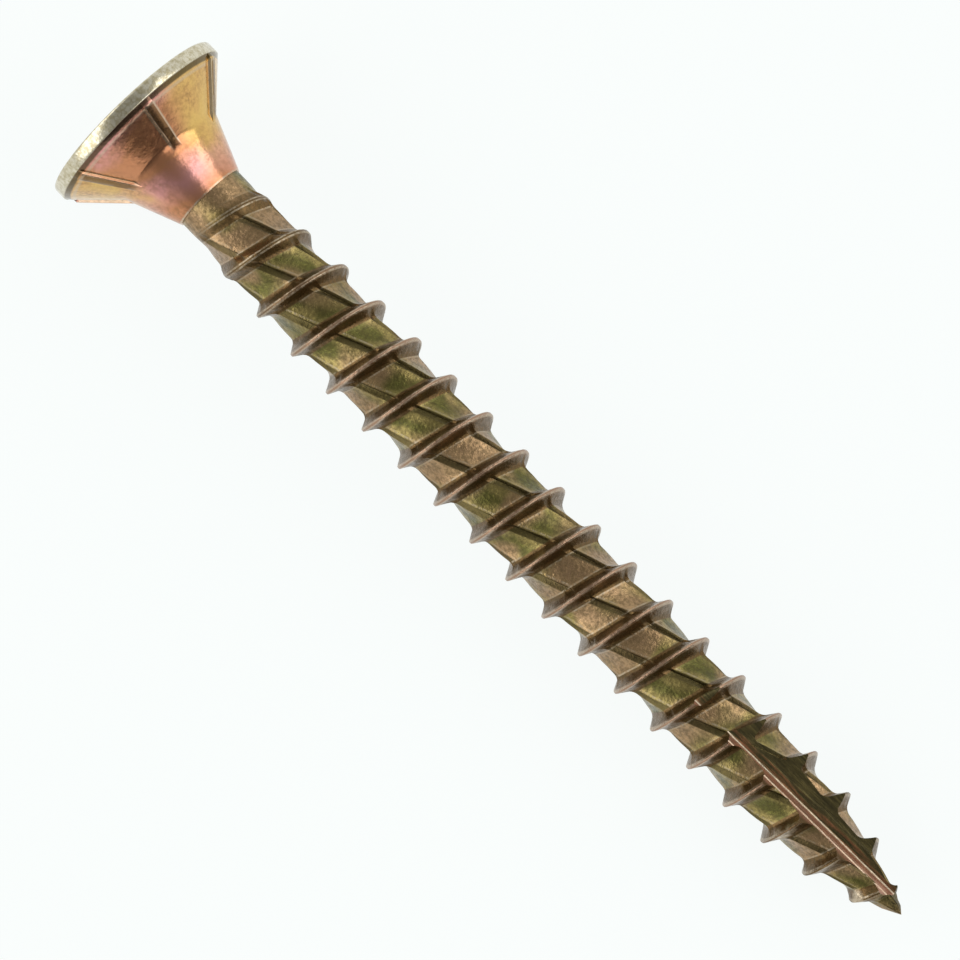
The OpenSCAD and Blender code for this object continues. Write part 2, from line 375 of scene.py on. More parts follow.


# The finish is yellow zinc over rolled steel: an olive film with tan drifts. Painted shade darkens
# the grooves and the tooth flanks, most towards the root, and rubbed zinc with painted highlights lines the
# crest.

# The tilt at which the rim and a crest touch the table together, as in the imported model
REST_TILT = math.radians(3.37613)
MILLIMETRE = 0.001
HEAD_RADIUS = 4.8
RIM_HEIGHT = 0.65
REST_DROP = RIM_HEIGHT * math.sin(REST_TILT) + HEAD_RADIUS * math.cos(REST_TILT)
REST_MIDDLE = (SCREW_LENGTH * math.cos(REST_TILT) - HEAD_RADIUS * math.sin(REST_TILT)) / 2
REST_PLACE = Matrix.Translation((-REST_MIDDLE, 0, REST_DROP)) @ Matrix.Rotation(REST_TILT, 4, "Y")


def new_group(name, takes, gives):
    """An empty shader node group with these sockets, and readings of its inputs."""
    tree = bpy.data.node_groups.new(name, "ShaderNodeTree")
    for label, kind in takes.items():
        tree.interface.new_socket(label, in_out="INPUT", socket_type="NodeSocket" + kind)
    for label, kind in gives.items():
        tree.interface.new_socket(label, in_out="OUTPUT", socket_type="NodeSocket" + kind)
    given = tree.nodes.new("NodeGroupInput")
    done = tree.nodes.new("NodeGroupOutput")
    return tree, {label: Reading(tree, given.outputs[label]) for label in takes}, done.inputs


def use_group(tree, group, **values):
    """Places a group in a tree; underscores in the names stand for spaces."""
    node = tree.nodes.new("ShaderNodeGroup")
    node.node_tree = group
    for label, value in values.items():
        feed(tree, node.inputs[label.replace("_", " ")], value)
    return {out.name: Reading(tree, out) for out in node.outputs}


def separate(tree, vector):
    node = tree.nodes.new("ShaderNodeSeparateXYZ")
    feed(tree, node.inputs[0], vector)
    return [Reading(tree, out) for out in node.outputs]


def noise(tree, place, scale, detail=2.0, rough=0.5, distort=0.0):
    node = tree.nodes.new("ShaderNodeTexNoise")
    feed(tree, node.inputs["Vector"], place)
    node.inputs["Scale"].default_value = scale
    node.inputs["Detail"].default_value = detail
    node.inputs["Roughness"].default_value = rough
    node.inputs["Distortion"].default_value = distort
    return Reading(tree, node.outputs[0])


def blended(tree, share, below, above):
    """A colour between two colours."""
    node = tree.nodes.new("ShaderNodeMix")
    node.data_type = "RGBA"
    feed(tree, node.inputs[0], share)
    for socket, value in ((node.inputs[6], below), (node.inputs[7], above)):
        feed(tree, socket, (*value, 1.0) if isinstance(value, tuple) else value)
    return Reading(tree, node.outputs[2])


def ramp(tree, value, stops):
    node = tree.nodes.new("ShaderNodeValToRGB")
    feed(tree, node.inputs[0], value)
    spots = node.color_ramp.elements
    while len(spots) < len(stops):
        spots.new(0.5)
    for spot, (place, colour) in zip(spots, stops):
        spot.position = place
        spot.color = (*colour, 1.0)
    return Reading(tree, node.outputs[0])


def thread_place_group():
    """Where a point lies on the screw: along it, round it, and beside the nearest crest and core edge."""
    tree, given, gives = new_group(
        "Thread_place",
        {"Place": "Vector"},
        {"Along": "Float", "Radius": "Float", "Angle": "Float", "Crest gap": "Float", "Edge gap": "Float"},
    )
    s, y, z = separate(tree, given["Place"])
    angle = y.do("ARCTAN2", z) * (180 / math.pi)
    knee = SCREW_LENGTH - PRESS_LENGTH
    squeezed = s + (s - knee).do("MAXIMUM", 0.0) * (1 / SQUEEZE - 1)
    crest_gap = squeezed - THREAD_START - (angle - THREAD_TURN) * (PITCH / 360)
    edge_gap = angle - s * (360 / TWIST_LEAD) - CORE_TURN
    feed(tree, gives["Along"], s)
    feed(tree, gives["Radius"], (y * y + z * z).do("SQRT"))
    feed(tree, gives["Angle"], angle)
    feed(tree, gives["Crest gap"], crest_gap.do("WRAP", PITCH / 2, -PITCH / 2))
    feed(tree, gives["Edge gap"], edge_gap.do("WRAP", 180 / CORE_FACES, -180 / CORE_FACES))
    return tree


# How often each kind of unevenness comes, per millimetre
PIT_RATE = 7.0
SPECKLE_RATE = 5.0
DENT_RATE = 1.6
PATCH_RATE = 0.55
DRIFT_RATE = 0.4
DENT_SHARE = 1.4


def grain_group():
    """The plating's own surface: fine pits, soft dents from tumbling, and patches of the film."""
    tree, given, gives = new_group(
        "Plating_grain",
        {"Place": "Vector", "Pits": "Float"},
        {"Height": "Float", "Speckle": "Float", "Patch": "Float", "Drift": "Float"},
    )
    place = given["Place"]
    pits = noise(tree, place, PIT_RATE, 3.0, 0.6)
    dents = noise(tree, place, DENT_RATE, 2.0, 0.5)
    patch = noise(tree, place, PATCH_RATE, 2.0, 0.5, 0.6)
    drift = noise(tree, place, DRIFT_RATE, 1.0, 0.5, 0.3)
    feed(tree, gives["Height"], pits * given["Pits"] + dents * DENT_SHARE)
    feed(tree, gives["Drift"], drift.between(0.4, 0.6))
    feed(tree, gives["Speckle"], noise(tree, place, SPECKLE_RATE, 4.0, 0.65).between(0.36, 0.66))
    feed(tree, gives["Patch"], patch.between(0.25, 0.75))
    return tree


def start_finish(name):
    """A new material with its tree, its Principled shader and the screw's own millimetres."""
    material = bpy.data.materials.new(name)
    material.use_nodes = True
    tree = material.node_tree
    shader = tree.nodes["Principled BSDF"]
    source = tree.nodes.new("ShaderNodeTexCoord")
    place = tree.nodes.new("ShaderNodeMapping")
    back = REST_PLACE.inverted()
    place.inputs["Location"].default_value = back.to_translation()
    place.inputs["Rotation"].default_value = back.to_euler()
    place.inputs["Scale"].default_value = (1 / MILLIMETRE,) * 3
    tree.links.new(source.outputs["Object"], place.inputs["Vector"])
    return material, tree, shader, Reading(tree, place.outputs[0])


def roughen(tree, shader, height, distance):
    bump = tree.nodes.new("ShaderNodeBump")
    bump.inputs["Distance"].default_value = distance
    feed(tree, bump.inputs["Height"], height)
    tree.links.new(bump.outputs[0], shader.inputs["Normal"])


def plated(shader):
    """Metal under a clear chromate film."""
    shader.inputs["Metallic"].default_value = 0.9
    shader.inputs["Coat Weight"].default_value = 0.15
    shader.inputs["Coat Roughness"].default_value = 0.25


thread_place = thread_place_group()
plating_grain = grain_group()


OLIVE_FILM = (0.31, 0.24, 0.08)
DARK_OLIVE_FILM = (0.12, 0.11, 0.025)
TAN_FILM = (0.45, 0.27, 0.15)
DARK_BROWN_FILM_AND_SHADE = (0.15, 0.085, 0.03)
DARK_FILM_AND_SHADE = (0.06, 0.045, 0.012)
CREST_FILM = (0.58, 0.36, 0.26)
RUBBED_ZINC_AND_HIGHLIGHT = (0.56, 0.46, 0.33)

# Places in the finish, in degrees from a core edge or in millimetres
GROOVE_INNER = 4.6
GROOVE_OUTER = 8.2
GROOVE_EDGE_LINE = 8.9
GROOVE_EDGE_HALF = 2.0
ROOT_EDGE = ROOT_WIDTH / 2 - 0.1
ROOT_EDGE_BLUR = 0.06
CREST_EDGE = 0.075
CREST_EDGE_HALF = 0.05
BUMP_DEPTH = 0.03 * MILLIMETRE
CREST_FILM_FROM = NECK_RADIUS + 0.4
CREST_FILM_TO = CREST_DIAMETER / 2 + 0.1
THREAD_LOOK_FADES = 48.5
THREAD_LOOK_ENDS = 48.9

# Marks near the point, in millimetres: where each lies, how far it reaches, and its film; the last is
# painted shade
POINT_MARKS_AND_SHADE = [
    ((48.0, -1.05, 0.6), 0.5, RUBBED_ZINC_AND_HIGHLIGHT),
    ((43.75, -1.3, 1.3), 0.4, RUBBED_ZINC_AND_HIGHLIGHT),
    ((43.85, -0.9, 1.7), 0.3, RUBBED_ZINC_AND_HIGHLIGHT),
    # Painted shade on the upper side of the point
    ((49.35, 0.5, 0.2), 0.8, DARK_FILM_AND_SHADE),
]


def near(tree, place, middle, reach):
    """1 close to this point of the screw, and 0 out of its reach."""
    node = tree.nodes.new("ShaderNodeVectorMath")
    node.operation = "DISTANCE"
    feed(tree, node.inputs[0], place)
    node.inputs[1].default_value = middle
    return 1.0 - Reading(tree, node.outputs["Value"]).between(0.6 * reach, 1.1 * reach)


def line(value, middle, half_width):
    """A soft line: 1 where the value is at the middle, 0 from half a width away."""
    return 1.0 - (value - middle).do("ABSOLUTE").between(half_width * 0.5, half_width)


def shank_finish():
    material, tree, shader, place = start_finish("yellow_zinc_shank")
    at = use_group(tree, thread_place, Place=place)
    grain = use_group(tree, plating_grain, Place=place, Pits=1.0)
    gap = at["Crest gap"].do("ABSOLUTE")
    threaded = at["Along"].between(THREAD_START - 0.2, THREAD_START + 0.8)
    threaded = threaded * (1.0 - at["Along"].between(THREAD_LOOK_FADES, THREAD_LOOK_ENDS))
    sector = 360 / CORE_FACES
    from_middle = (at["Edge gap"] + sector / 2).do("WRAP", sector / 2, -sector / 2).do("ABSOLUTE")
    film = from_middle / (sector / 2 - HALF_GROOVE) + (grain["Patch"] - 0.5) * 0.9
    colour = blended(tree, film.between(0.1, 0.9), DARK_OLIVE_FILM, OLIVE_FILM)
    colour = blended(tree, grain["Drift"] * 0.75, colour, TAN_FILM)
    colour = blended(tree, grain["Speckle"] * 0.55, colour, DARK_FILM_AND_SHADE)
    # Painted shade: the grooves on the core edges are darkened.
    groove = (1.0 - at["Edge gap"].do("ABSOLUTE").between(GROOVE_INNER, GROOVE_OUTER)) * threaded
    colour = blended(tree, groove * grain["Speckle"].mixed(0.9, 0.7), colour, DARK_FILM_AND_SHADE)
    # Painted highlight along one edge of each groove, partly rubbed zinc.
    groove_edge_highlight = line(at["Edge gap"], GROOVE_EDGE_LINE, GROOVE_EDGE_HALF) * threaded
    colour = blended(tree, groove_edge_highlight * grain["Speckle"] * 0.4, colour, RUBBED_ZINC_AND_HIGHLIGHT)
    # Painted shade: the tooth flanks are dark brown, darkest towards the root and lighter towards the
    # crest.
    tooth = (1.0 - gap.between(ROOT_EDGE - ROOT_EDGE_BLUR, ROOT_EDGE)) * threaded
    flank_shade = blended(tree, grain["Speckle"] * 0.5, DARK_BROWN_FILM_AND_SHADE, DARK_FILM_AND_SHADE)
    up_flank = at["Radius"].between(CREST_FILM_FROM, CREST_FILM_TO)
    flank_shade = blended(tree, up_flank * 0.6, flank_shade, CREST_FILM)
    colour = blended(tree, tooth, colour, flank_shade)
    # Rubbed zinc with a painted highlight along both edges of the crest.
    rubbed = line(gap, CREST_EDGE, CREST_EDGE_HALF) * threaded * (0.15 + grain["Speckle"] * 0.6)
    # Painted highlight along the foot of each tooth's fillet.
    root_edge_highlight = line(gap, ROOT_EDGE, CREST_EDGE_HALF) * threaded
    rubbed = rubbed.do("MAXIMUM", root_edge_highlight * grain["Drift"] * grain["Speckle"] * 0.6)
    colour = blended(tree, rubbed, colour, RUBBED_ZINC_AND_HIGHLIGHT)
    for middle, reach, film in POINT_MARKS_AND_SHADE:
        mark = near(tree, place, middle, reach) * grain["Speckle"].mixed(0.95, 0.45)
        colour = blended(tree, mark, colour, film)
    feed(tree, shader.inputs["Base Color"], colour)
    plated(shader)
    feed(tree, shader.inputs["Roughness"], 0.27 + grain["Speckle"] * 0.15)
    roughen(tree, shader, grain["Height"], BUMP_DEPTH)
    return material


shank_plating = shank_finish()
tooth_points = outline_object("tooth_outline", tooth_outline())
core_points = outline_object("core_outline", core_outline())
tree, sizes = shank_tree()
inputs = {"Tooth outline": tooth_points, "Core outline": core_points, "Plating": shank_plating}
shank_mesh = outward(grown(tree, {**sizes, **inputs}))
for holder in (tooth_points, core_points):
    bpy.data.objects.remove(holder)


# Head with its cutter ribs
# The head is forged on the same wire: a short rim, a hollow cone with six thin
# ribs that stand between shallow pockets, and a throat that steps on to the neck.

CONE_ANGLE = math.radians(45)
THROAT_RADIUS = 3.05
THROAT_END = 5.2
COLLAR_RADIUS = 1.785
RIB_COUNT = 6
RIB_TURN = 11.0
RIB_HALF_WIDTH = 0.25
RIB_HALF_WIDTH_AT_THROAT = 0.13
POCKET_DEPTH = 0.16
BEVEL_HEIGHT = 0.28
TOP_ROUNDING = 0.12
RIM_ROUNDING = 0.05
CONE_START = RIM_HEIGHT + BEVEL_HEIGHT
CONE_START_RADIUS = HEAD_RADIUS - 0.08
CONE_END = CONE_START + (CONE_START_RADIUS - THROAT_RADIUS) / math.tan(CONE_ANGLE)


def head_rings():
    """(distance from the top, radius, share of the pocket depth) down the head."""
    pocket = POCKET_DEPTH / math.cos(CONE_ANGLE)
    rings = [(0.0, r, 0.0) for r in (0.6, 3.0, 3.9, 4.3)]
    steps = 4
    for i in range(steps + 1):
        turn = math.pi / 2 * i / steps
        s = TOP_ROUNDING * (1 - math.cos(turn))
        rings.append((s, HEAD_RADIUS - TOP_ROUNDING * (1 - math.sin(turn)), 0.0))
    rings += [(RIM_HEIGHT * 0.5, HEAD_RADIUS, 0.0)]
    steps = 3
    for i in range(steps + 1):
        turn = math.pi / 2 * i / steps
        s = RIM_HEIGHT - RIM_ROUNDING * (1 - math.sin(turn))
        rings.append((s, HEAD_RADIUS - RIM_ROUNDING * (1 - math.cos(turn)), 0.0))
    rings += [(CONE_START - 0.02, CONE_START_RADIUS + 0.01, 0.92)]
    cone_rings = 18
    for i in range(cone_rings + 1):
        u = i / cone_rings
        s = CONE_START + (CONE_END - CONE_START) * u
        r = CONE_START_RADIUS + (THROAT_RADIUS - CONE_START_RADIUS) * u
        rings.append((s, r, 1.0))
    throat_rings = 14
    rib_end = 1 / 7
    for i in range(1, throat_rings + 1):
        u = i / throat_rings
        s = CONE_END + (THROAT_END - CONE_END) * u
        r = COLLAR_RADIUS + (THROAT_RADIUS - pocket - COLLAR_RADIUS) * (1 - u)
        rib = max(0.0, 1 - u / rib_end)
        rings.append((s, r + pocket * rib, rib))
    return rings, pocket


def head_mesh():
    """Each ring has six ribs, with steep sides and a flat top, and a pocket after each rib."""
    rings, pocket = head_rings()
    rib_side = [-1.5, -1.12, -1.0, -0.85, 0.0, 0.85, 1.0, 1.12, 1.5]
    rib_drop = [1.0, 0.94, 0.12, 0.0, 0.0, 0.0, 0.12, 0.94, 1.0]
    between = 26
    columns = len(rib_side) + between - 1
    work = bmesh.new()
    loops = []
    for s, r, share in rings:
        slide = min(1.0, max(0.0, (s - CONE_START) / (THROAT_END - CONE_START)))
        half = (RIB_HALF_WIDTH + (RIB_HALF_WIDTH_AT_THROAT - RIB_HALF_WIDTH) * slide) / r
        loop = []
        for rib in range(RIB_COUNT):
            middle = math.radians(90 - RIB_TURN - rib * 360 / RIB_COUNT)
            for column in range(columns):
                if column < len(rib_side):
                    angle = half * rib_side[column]
                    drop = rib_drop[column]
                else:
                    step = (column - len(rib_side) + 1) / between
                    edge = half * rib_side[-1]
                    angle = edge + (2 * math.pi / RIB_COUNT - 2 * edge) * step
                    drop = 1.0
                turn = middle - angle
                depth = r - pocket * share * drop
                # The head turns with the drawing: its own x runs to +Y and its y to +Z
                loop.append(work.verts.new((s, depth * math.cos(turn), depth * math.sin(turn))))
        loops.append(loop)
    for upper, lower in zip(loops, loops[1:]):
        for i in range(len(upper)):
            j = (i + 1) % len(upper)
            work.faces.new((upper[i], upper[j], lower[j], lower[i]))
    work.faces.new(loops[0][::-1])
    work.faces.new(loops[-1])
    mesh = bpy.data.meshes.new("head")
    work.to_mesh(mesh)
    work.free()
    return outward(mesh)


def solid_object(name, mesh, finish=None):
    part = bpy.data.objects.new(name, mesh)
    if finish:
        mesh.materials.append(finish)
    bpy.context.scene.collection.objects.link(part)
    return part


def combine(body, other, operation):
    """Joins the other solid to the body, or cuts it out, and drops the other one."""
    modifier = body.modifiers.new(operation.lower(), "BOOLEAN")
    modifier.operation = operation
    modifier.solver = "MANIFOLD"
    modifier.material_mode = "TRANSFER"
    modifier.object = other
    ready = body.evaluated_get(bpy.context.evaluated_depsgraph_get())
    mesh = bpy.data.meshes.new_from_object(ready)
    body.modifiers.remove(modifier)
    body.data = mesh
    bpy.data.objects.remove(other)


BRIGHT_ZINC = (0.70, 0.64, 0.50)
YELLOW_FILM = (0.72, 0.47, 0.14)
COPPER_FILM = (0.58, 0.25, 0.12)
PINK_FILM = (0.72, 0.33, 0.30)

# The film is thin and yellow on two sides of the cone: where, and how far round, in degrees
THIN_FILM_SIDES = ((62.0, 48.0), (-73.0, 33.6))
HEAD_DRIFT_RATE = 0.2
HEAD_DRIFT = 3.0
RIM_SHADE_PLACE = RIM_HEIGHT + 0.08
RIM_SHADE_HALF = 0.16
RECESS_REACH = 2.52
RECESS_DEPTH = 3.0


def head_finish():
    material, tree, shader, place = start_finish("yellow_zinc_head")
    at = use_group(tree, thread_place, Place=place)
    grain = use_group(tree, plating_grain, Place=place, Pits=0.5)
    slide = at["Along"].between(CONE_START, THROAT_END)
    rib = (at["Angle"] - RIB_TURN).do("WRAP", 180 / RIB_COUNT, -180 / RIB_COUNT)
    rib = rib.do("ABSOLUTE") * at["Radius"] * (math.pi / 180)
    rib = rib / slide.mixed(RIB_HALF_WIDTH, RIB_HALF_WIDTH_AT_THROAT)
    on_cone = at["Along"].between(CONE_START - 0.1, CONE_START + 0.1)
    on_cone = on_cone * (1.0 - at["Along"].between(CONE_END, CONE_END + 0.4))
    drift = noise(tree, place, HEAD_DRIFT_RATE, 1.0, 0.4)
    down = at["Along"] + (drift - 0.5) * HEAD_DRIFT + (grain["Patch"] - 0.5) * 0.8
    colour = ramp(tree, down / THROAT_END, [
        (0.1, PINK_FILM), (0.3, COPPER_FILM), (0.55, COPPER_FILM), (0.74, PINK_FILM), (1.0, COPPER_FILM),
    ])
    sides = [line(at["Angle"], turn, reach) for turn, reach in THIN_FILM_SIDES]
    thin = sides[0].do("MAXIMUM", sides[1])
    thin = thin * (1.0 - down.between(CONE_END, THROAT_END)) * grain["Patch"].mixed(1.0, 0.6)
    colour = blended(tree, thin, colour, YELLOW_FILM)
    colour = blended(tree, grain["Speckle"] * grain["Patch"] * 0.5, colour, DARK_BROWN_FILM_AND_SHADE)
    # Painted shade: the rib tops are darkened.
    colour = blended(tree, (1.0 - rib.between(0.7, 0.95)) * on_cone * 0.8, colour, DARK_BROWN_FILM_AND_SHADE)
    # Painted highlight along both edges of each rib.
    colour = blended(tree, line(rib, 1.05, 0.34) * on_cone * 0.7, colour, RUBBED_ZINC_AND_HIGHLIGHT)
    # Painted shade: a dark line under the rim.
    colour = blended(tree, line(at["Along"], RIM_SHADE_PLACE, RIM_SHADE_HALF) * 0.85, colour, DARK_FILM_AND_SHADE)
    # Painted highlight: a thin light line where the cone starts.
    colour = blended(tree, line(at["Along"], CONE_START + 0.04, 0.07) * 0.4, colour, RUBBED_ZINC_AND_HIGHLIGHT)
    inside = 1.0 - at["Radius"].between(RECESS_REACH + 0.05, RECESS_REACH + 0.15)
    inside = inside * (1.0 - at["Along"].between(RECESS_DEPTH, RECESS_DEPTH + 0.1))
    colour = blended(tree, inside, colour, blended(tree, grain["Speckle"], YELLOW_FILM, OLIVE_FILM))
    rim = 1.0 - at["Along"].between(RIM_HEIGHT - 0.03, RIM_HEIGHT + 0.02)
    bright = blended(tree, grain["Speckle"] * 0.6, BRIGHT_ZINC, OLIVE_FILM)
    colour = blended(tree, rim, colour, bright)
    collar = line(at["Along"], THROAT_END, 0.1) * grain["Speckle"].mixed(0.3, 0.9)
    colour = blended(tree, collar, colour, RUBBED_ZINC_AND_HIGHLIGHT)
    feed(tree, shader.inputs["Base Color"], colour)
    plated(shader)
    feed(tree, shader.inputs["Roughness"], 0.15 + grain["Speckle"] * 0.08)
    roughen(tree, shader, grain["Height"], BUMP_DEPTH / 3)
    return material


head_plating = head_finish()
screw = solid_object("screw_forged", head_mesh(), head_plating)
combine(screw, solid_object("shank", shank_mesh), "UNION")


# Cross recess in the head
# The driver's cross is punched into the top of the head: four wings round a
# tapered middle, with a short relief groove in each corner between them.

def star_solid(name, levels, outline, count):
    """A closed solid of star-shaped outlines stacked along the screw's axis."""
    work = bmesh.new()
    loops = []
    for level in levels:
        loop = []
        for i in range(count):
            turn = 2 * math.pi * i / count
            r = outline(level, turn)
            loop.append(work.verts.new((level[0], r * math.cos(turn), r * math.sin(turn))))
        loops.append(loop)
    for upper, lower in zip(loops, loops[1:]):
        for i in range(count):
            j = (i + 1) % count
            work.faces.new((upper[i], upper[j], lower[j], lower[i]))
    for loop in (loops[0], loops[-1]):
        middle = work.verts.new((loop[0].co.x, 0, 0))
        for i in range(count):
            work.faces.new((loop[i], loop[(i + 1) % count], middle))
    mesh = bpy.data.meshes.new(name)
    work.to_mesh(mesh)
    work.free()
    return outward(mesh)


def bar_reach(turn, reach, half_width):
    """How far a bar with rounded ends goes in this direction from the axis."""
    sharp = 10
    along = abs(math.cos(turn) / reach) ** sharp
    across = abs(math.sin(turn) / half_width) ** sharp
    return (along + across) ** (-1 / sharp)


# Each level: the reach of a wing, half its width, the radius of the middle, the relief's reach
RECESS_MOUTH = (RECESS_REACH, 0.545, 1.3, 1.8)
RECESS_TOP = (2.45, 0.475, 1.25, 1.75)
RECESS_FLOOR = (1.25, 0.445, 0.875, 0)
RECESS_PIT = (0.35, 0.3, 0.35, 0)
MOUTH_DEPTH = 0.05
FLOOR_DEPTH = 2.7
RELIEF_DEPTH = 1.0
RELIEF_HALF_WIDTH = 0.175
RECESS_COLUMNS = 480


def recess_outline(level, turn):
    s, reach, half_width, middle, relief = level
    eighth = math.pi / 4
    bars = [bar_reach(turn - eighth, reach, half_width), bar_reach(turn + eighth, reach, half_width)]
    if relief:
        bars += [bar_reach(turn + quarter, relief, RELIEF_HALF_WIDTH) for quarter in (0, math.pi / 2)]
    return max(middle, *bars)


def recess_levels():
    levels = [(s, *RECESS_MOUTH) for s in (-0.6, -0.04)]
    steps = 6
    for i in range(steps + 1):
        u = i / steps
        s = MOUTH_DEPTH + (FLOOR_DEPTH - MOUTH_DEPTH) * u
        sizes = [top + (floor - top) * u for top, floor in zip(RECESS_TOP[:3], RECESS_FLOOR[:3])]
        levels.append((s, *sizes, RECESS_TOP[3] if s < RELIEF_DEPTH else 0))
    levels.append((RECESS_DEPTH, *RECESS_PIT))
    return levels


recess = star_solid("recess", recess_levels(), recess_outline, RECESS_COLUMNS)
combine(screw, solid_object("recess", recess, head_plating), "DIFFERENCE")


# Cut point
# The tip is slashed after rolling, so that it drills: one quarter of the point
# is sheared away along a sloping plane, and its side wall keeps the shear's steps.

CUT_LENGTH = 11.5
CUT_SIDE = 0.42
CUT_RISE = 0.03
CUT_TURN = math.radians(1.8)
CUT_LEAN = math.tan(math.radians(27))
CORE_EDGE_RADIUS = CORE_FLAT_RADIUS / math.cos(math.radians(180 / CORE_FACES - HALF_GROOVE))
CUT_SLOPE = math.atan(CORE_EDGE_RADIUS / CUT_LENGTH)
CUT_PLACE = Matrix.Translation((SCREW_LENGTH, CUT_SIDE, CUT_RISE)) @ Matrix.Rotation(CUT_TURN, 4, "Z")
CUT_PLACE = CUT_PLACE @ Matrix.Rotation(CUT_SLOPE, 4, "Y")
LEDGE_HEIGHT = 0.42
LEDGE_WIDTH = 0.04
CUTTER_REACH = 9.5
CUTTER_HALF_LENGTH = 17.0


def cut_mesh():
    """The sheared wall has a worn corner at its foot and one narrow ledge."""
    worn = 0.05
    high = LEDGE_HEIGHT + 0.02
    wall = [(-0.04, 0.0), (-0.008, 0.012), (worn * CUT_LEAN, worn)]
    wall += [(LEDGE_HEIGHT * CUT_LEAN, LEDGE_HEIGHT), (LEDGE_WIDTH + high * CUT_LEAN, high)]
    wall += [(LEDGE_WIDTH + CUTTER_REACH * CUT_LEAN, CUTTER_REACH)]
    wall += [(-CUTTER_REACH, CUTTER_REACH), (-CUTTER_REACH, 0.0)]
    work = bmesh.new()
    ends = []
    for side in (-CUTTER_HALF_LENGTH, CUTTER_HALF_LENGTH):
        ends.append([work.verts.new((-side, -x, y)) for x, y in wall])
    for i in range(len(wall)):
        j = (i + 1) % len(wall)
        work.faces.new((ends[0][i], ends[0][j], ends[1][j], ends[1][i]))
    work.faces.new(ends[0][::-1])
    work.faces.new(ends[1])
    work.transform(CUT_PLACE)
    mesh = bpy.data.meshes.new("cut")
    work.to_mesh(mesh)
    work.free()
    return outward(mesh)


SHEARED_FACE_FILM_AND_SHADE = (0.06, 0.048, 0.018)
SHEARED_WALL_FILM = (0.36, 0.20, 0.14)
RED_STREAK = (0.26, 0.08, 0.04)
STREAK_RATE = 5.0
STREAK_STRETCH = 0.12


def cut_finish():
    material, tree, shader, place = start_finish("yellow_zinc_cut")
    grain = use_group(tree, plating_grain, Place=place, Pits=0.4)
    from_corner = tree.nodes.new("ShaderNodeMapping")
    from_corner.vector_type = "TEXTURE"
    from_corner.inputs["Location"].default_value = CUT_PLACE.to_translation()
    from_corner.inputs["Rotation"].default_value = CUT_PLACE.to_euler()
    feed(tree, from_corner.inputs["Vector"], place)
    stretch = tree.nodes.new("ShaderNodeMapping")
    stretch.inputs["Scale"].default_value = (STREAK_STRETCH, 1.0, 1.0)
    tree.links.new(from_corner.outputs[0], stretch.inputs["Vector"])
    streaks = noise(tree, Reading(tree, stretch.outputs[0]), STREAK_RATE, 3.0, 0.6)
    _, across, height = separate(tree, from_corner.outputs[0])
    # The sheared face is nearly black: dark film, darkened further as painted shade.
    colour = blended(tree, streaks.between(0.35, 0.75) * 0.35, SHEARED_FACE_FILM_AND_SHADE, OLIVE_FILM)
    colour = blended(tree, line(across, 0.15, 0.3) * streaks.between(0.4, 0.7) * 0.7, colour, RED_STREAK)
    wall = blended(tree, streaks.between(0.3, 0.7) * 0.5, SHEARED_WALL_FILM, COPPER_FILM)
    colour = blended(tree, height.between(0.01, 0.04), colour, wall)
    colour = blended(tree, height.between(LEDGE_HEIGHT + 0.15, LEDGE_HEIGHT + 0.4), colour, DARK_BROWN_FILM_AND_SHADE)
    # Rubbed zinc with a painted highlight along the wall's foot corner and its ledge.
    corner = line(across, 0.02, 0.05) * grain["Speckle"].mixed(0.9, 0.5)
    ledge = line(height, LEDGE_HEIGHT + 0.01, 0.05) * grain["Speckle"].mixed(0.8, 0.4)
    colour = blended(tree, corner.do("MAXIMUM", ledge), colour, RUBBED_ZINC_AND_HIGHLIGHT)
    feed(tree, shader.inputs["Base Color"], colour)
    plated(shader)
    shader.inputs["Roughness"].default_value = 0.34
    roughen(tree, shader, streaks + grain["Height"] * 0.4, BUMP_DEPTH)
    return material


cut_plating = cut_finish()
combine(screw, solid_object("cut", cut_mesh(), cut_plating), "DIFFERENCE")


# The finished screw
# One piece of steel, plated all over after it is cut. It lies where it would come
# to rest, on the edge of its rim and one thread crest.

SHARP_ANGLE = math.radians(32)

screw.data.transform(Matrix.Scale(MILLIMETRE, 4) @ REST_PLACE)
screw.name = "forged_screw"
for polygon in screw.data.polygons:
    polygon.use_smooth = True
screw.data.set_sharp_from_angle(angle=SHARP_ANGLE)
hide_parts("screw")
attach(screw, "root")


# Table, light and camera
# A plain white table in a light tent: white all round, darker overhead where the
# camera looks in, with two soft boxes at the sides.

AXIS_SLOPE = math.radians(46.07)
MILLIMETRES_WIDE = 43.2
SQUARE_ON = 40.5
CAMERA_HEIGHT = 245.0
AIM_ALONG = 22.9
AIM_ACROSS = -0.08
FILM_WIDTH = 36


def screw_point(s, across, height):
    """A place beside the screw, from millimetres in its own frame to metres."""
    return (REST_PLACE @ Vector((s, across, height))) * MILLIMETRE


aim = screw_point(AIM_ALONG, AIM_ACROSS, 0)
camera_place = screw_point(SQUARE_ON, AIM_ACROSS, CAMERA_HEIGHT)
towards_camera = (camera_place - aim).normalized()
beside = towards_camera.cross(screw_point(1, 0, 0) - screw_point(0, 0, 0)).normalized()
along = beside.cross(towards_camera)
right = math.cos(AXIS_SLOPE) * along + math.sin(AXIS_SLOPE) * beside
up = -math.sin(AXIS_SLOPE) * along + math.cos(AXIS_SLOPE) * beside
lens = bpy.data.cameras.new("camera")
lens.sensor_width = FILM_WIDTH
lens.lens = FILM_WIDTH * (camera_place - aim).length / (MILLIMETRES_WIDE * MILLIMETRE)
lens.clip_start = 0.01
lens.clip_end = 10
camera = bpy.data.objects.new("camera", lens)
bpy.context.scene.collection.objects.link(camera)
turned = Matrix((right, up, towards_camera)).transposed().to_4x4()
camera.matrix_world = Matrix.Translation(camera_place) @ turned
bpy.context.scene.camera = camera


